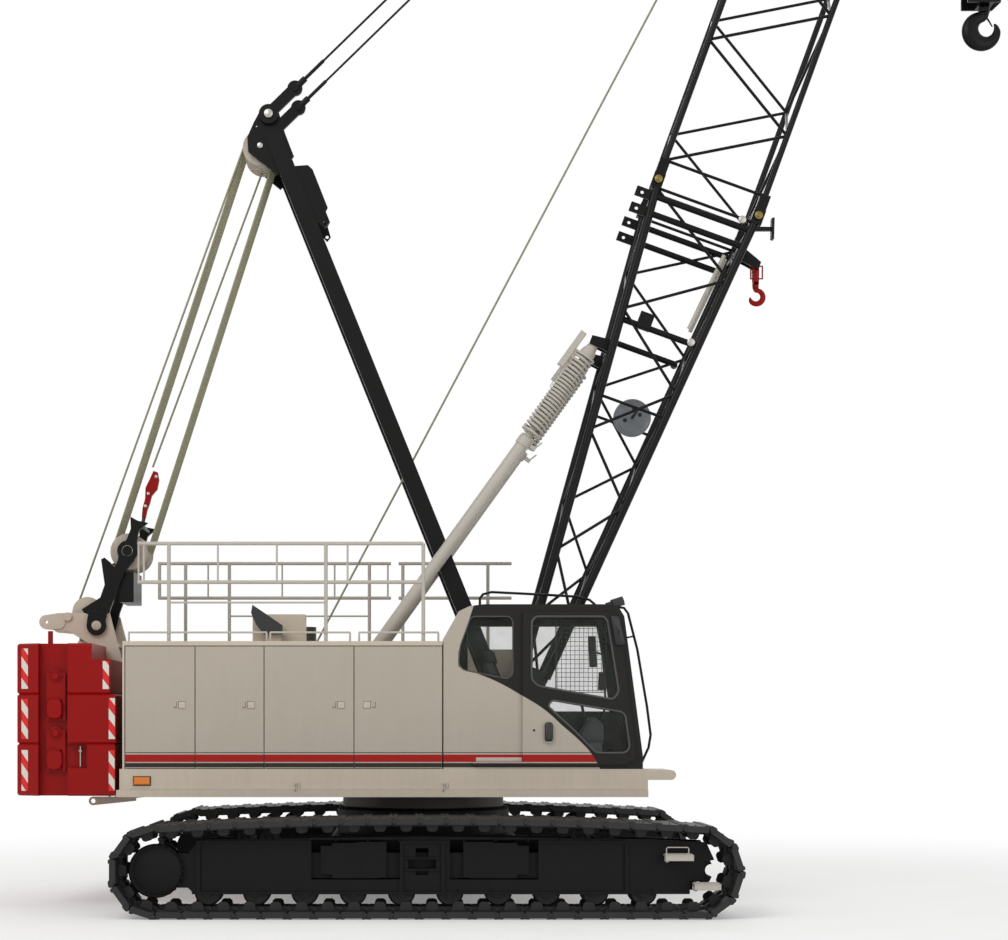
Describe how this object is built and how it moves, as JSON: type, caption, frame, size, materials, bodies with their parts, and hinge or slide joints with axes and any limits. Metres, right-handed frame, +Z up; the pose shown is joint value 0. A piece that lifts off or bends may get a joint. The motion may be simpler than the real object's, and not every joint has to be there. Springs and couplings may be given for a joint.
{
  "type": "crawler crane",
  "caption": "Tracked lattice-boom crane: slewing house with cab, stacked counterweight, live mast with pendants, tubular boom and reeved hook block.",
  "frame": {"origin": "on the ground under the centre of the overall box, 1.047 m ahead of the slewing axis", "axes": "+X along the boom, to the front; +Y to the machine's left; +Z up"},
  "size_m": [10.3696, 4.88, 15.1829],
  "materials": {
    "undercarriage_black": "satin black paint",
    "track_steel": "worn dark steel",
    "body_beige": "semi-gloss paint",
    "machinery_grey": "satin paint",
    "exhaust_steel": "dull",
    "cab_glass": "clear",
    "cab_trim": "matt",
    "counterweight_red": "semi-gloss paint",
    "boom_black": "satin black paint",
    "sheave_steel": "satin",
    "wire_rope": "greased wire rope"
  },
  "bodies": {
    "undercarriage": {"carbody": "undercarriage_black", "slew_ring": "undercarriage_black"},
    "side_frame_right": {"track_frame_right": "undercarriage_black", "track_right": "track_steel", "track_wheels_right": "undercarriage_black", "drive_cover_right": "undercarriage_black", "rollers_right": "undercarriage_black", "steps_right": "body_beige"},
    "side_frame_left": {"track_frame_left": "undercarriage_black", "track_left": "track_steel", "track_wheels_left": "undercarriage_black", "drive_cover_left": "undercarriage_black", "rollers_left": "undercarriage_black", "steps_left": "body_beige"},
    "upper": {"revolving_frame": "body_beige", "house_right": "body_beige", "house_left": "body_beige", "engine_block": "machinery_grey", "cab_shell": "body_beige", "cab_glass": "cab_glass", "cab_interior": "cab_trim", "counterweight_lower": "counterweight_red", "counterweight_middle": "counterweight_red", "counterweight_upper": "counterweight_red", "gantry_base": "body_beige", "gantry": "boom_black", "gantry_sheaves": "sheave_steel", "hoist_drums": "machinery_grey", "boom_winch": "body_beige", "weight_straps": "counterweight_red", "handrails_right": "body_beige", "handrails_left": "body_beige", "air_intake": "body_beige", "exhaust": "exhaust_steel"},
    "door_right_1": {"door_right_1": "body_beige"},
    "door_right_2": {"door_right_2": "body_beige"},
    "door_right_3": {"door_right_3": "body_beige"},
    "door_right_4": {"door_right_4": "body_beige"},
    "door_left_1": {"door_left_1": "body_beige"},
    "door_left_2": {"door_left_2": "body_beige"},
    "door_left_3": {"door_left_3": "body_beige"},
    "cab_door": {"cab_door": "body_beige", "cab_door_glass": "cab_glass"},
    "boom": {"boom_base": "boom_black", "boom_top": "boom_black", "boom_head": "boom_black", "head_sheaves": "sheave_steel"},
    "mast": {"mast": "boom_black", "mast_sheaves": "sheave_steel", "pendants": "wire_rope"},
    "backstop_tube_right": {"backstop_tube_right": "body_beige"},
    "backstop_rod_right": {"backstop_rod_right": "body_beige"},
    "backstop_tube_left": {"backstop_tube_left": "body_beige"},
    "backstop_rod_left": {"backstop_rod_left": "body_beige"},
    "hook_block": {"hook_block": "boom_black", "block_sheaves": "sheave_steel", "hook_falls": "wire_rope"},
    "hook": {"hook": "boom_black"},
    "aux_hook": {"aux_hook": "counterweight_red"}
  },
  "joints": [
    {"name": "side_frame_right_slide", "type": "slide", "parent": "undercarriage", "child": "side_frame_right", "axis": [0, 1, 0], "range_m": [0, 0.4]},
    {"name": "side_frame_left_slide", "type": "slide", "parent": "undercarriage", "child": "side_frame_left", "axis": [0, -1, 0], "range_m": [0, 0.4]},
    {"name": "slew", "type": "hinge", "parent": "undercarriage", "child": "upper", "pos_m": [-1.047, 0, 1.125], "axis": [0, 0, 1], "continuous": true},
    {"name": "boom_luff", "type": "hinge", "parent": "upper", "child": "boom", "pos_m": [-0.1, 0, 1.816], "axis": [0, -1, 0], "range_deg": [-40, 12]},
    {"name": "mast_luff", "type": "hinge", "parent": "upper", "child": "mast", "pos_m": [-0.1, 0, 1.816], "axis": [0, -1, 0], "range_deg": [-40, 12]},
    {"name": "backstop_right_pivot", "type": "hinge", "parent": "upper", "child": "backstop_tube_right", "pos_m": [-1.923, -0.482, 2.16], "axis": [0, -1, 0], "range_deg": [-33, 11]},
    {"name": "backstop_right_slide", "type": "slide", "parent": "backstop_tube_right", "child": "backstop_rod_right", "axis": [0.5839, 0, 0.8118], "range_m": [-0.35, 1.1]},
    {"name": "backstop_left_pivot", "type": "hinge", "parent": "upper", "child": "backstop_tube_left", "pos_m": [-1.923, 0.482, 2.16], "axis": [0, -1, 0], "range_deg": [-33, 11]},
    {"name": "backstop_left_slide", "type": "slide", "parent": "backstop_tube_left", "child": "backstop_rod_left", "axis": [0.5839, 0, 0.8118], "range_m": [-0.35, 1.1]},
    {"name": "hook_block_swing", "type": "hinge", "parent": "boom", "child": "hook_block", "pos_m": [4.69588, 0, 14.67096], "axis": [0, -1, 0], "range_deg": [-13, 41]},
    {"name": "hook_swivel", "type": "hinge", "parent": "hook_block", "child": "hook", "pos_m": [4.98588, 0, 9.595], "axis": [0, 0, 1], "continuous": true},
    {"name": "aux_hook_swing", "type": "hinge", "parent": "boom", "child": "aux_hook", "pos_m": [2.5264, 0, 6.79818], "axis": [0, -1, 0], "range_deg": [-13, 41]},
    {"name": "door_right_1_hinge", "type": "hinge", "parent": "upper", "child": "door_right_1", "pos_m": [-4.035, -1.49, 2.05], "axis": [0, 0, -1], "range_deg": [0, 100]},
    {"name": "door_right_2_hinge", "type": "hinge", "parent": "upper", "child": "door_right_2", "pos_m": [-3.331, -1.49, 2.05], "axis": [0, 0, -1], "range_deg": [0, 100]},
    {"name": "door_right_3_hinge", "type": "hinge", "parent": "upper", "child": "door_right_3", "pos_m": [-2.639, -1.49, 2.05], "axis": [0, 0, -1], "range_deg": [0, 100]},
    {"name": "door_right_4_hinge", "type": "hinge", "parent": "upper", "child": "door_right_4", "pos_m": [-0.88, -1.49, 2.05], "axis": [0, 0, 1], "range_deg": [0, 100]},
    {"name": "door_left_1_hinge", "type": "hinge", "parent": "upper", "child": "door_left_1", "pos_m": [-4.035, 1.49, 2.05], "axis": [0, 0, 1], "range_deg": [0, 100]},
    {"name": "door_left_2_hinge", "type": "hinge", "parent": "upper", "child": "door_left_2", "pos_m": [-3.035, 1.49, 2.05], "axis": [0, 0, 1], "range_deg": [0, 100]},
    {"name": "door_left_3_hinge", "type": "hinge", "parent": "upper", "child": "door_left_3", "pos_m": [-1.005, 1.49, 2.05], "axis": [0, 0, -1], "range_deg": [0, 100]},
    {"name": "cab_door_slide", "type": "slide", "parent": "upper", "child": "cab_door", "axis": [-1, 0, 0], "range_m": [0, 0.46]}
  ],
  "couplings": [
    {"joint": "mast_luff", "follows": "boom_luff", "ratio": 1},
    {"joint": "backstop_right_pivot", "follows": "boom_luff", "ratio": 0.785},
    {"joint": "backstop_right_slide", "follows": "boom_luff", "m_per_rad": -1.46},
    {"joint": "backstop_left_pivot", "follows": "boom_luff", "ratio": 0.785},
    {"joint": "backstop_left_slide", "follows": "boom_luff", "m_per_rad": -1.46},
    {"joint": "hook_block_swing", "follows": "boom_luff", "ratio": -1},
    {"joint": "aux_hook_swing", "follows": "boom_luff", "ratio": -1}
  ]
}
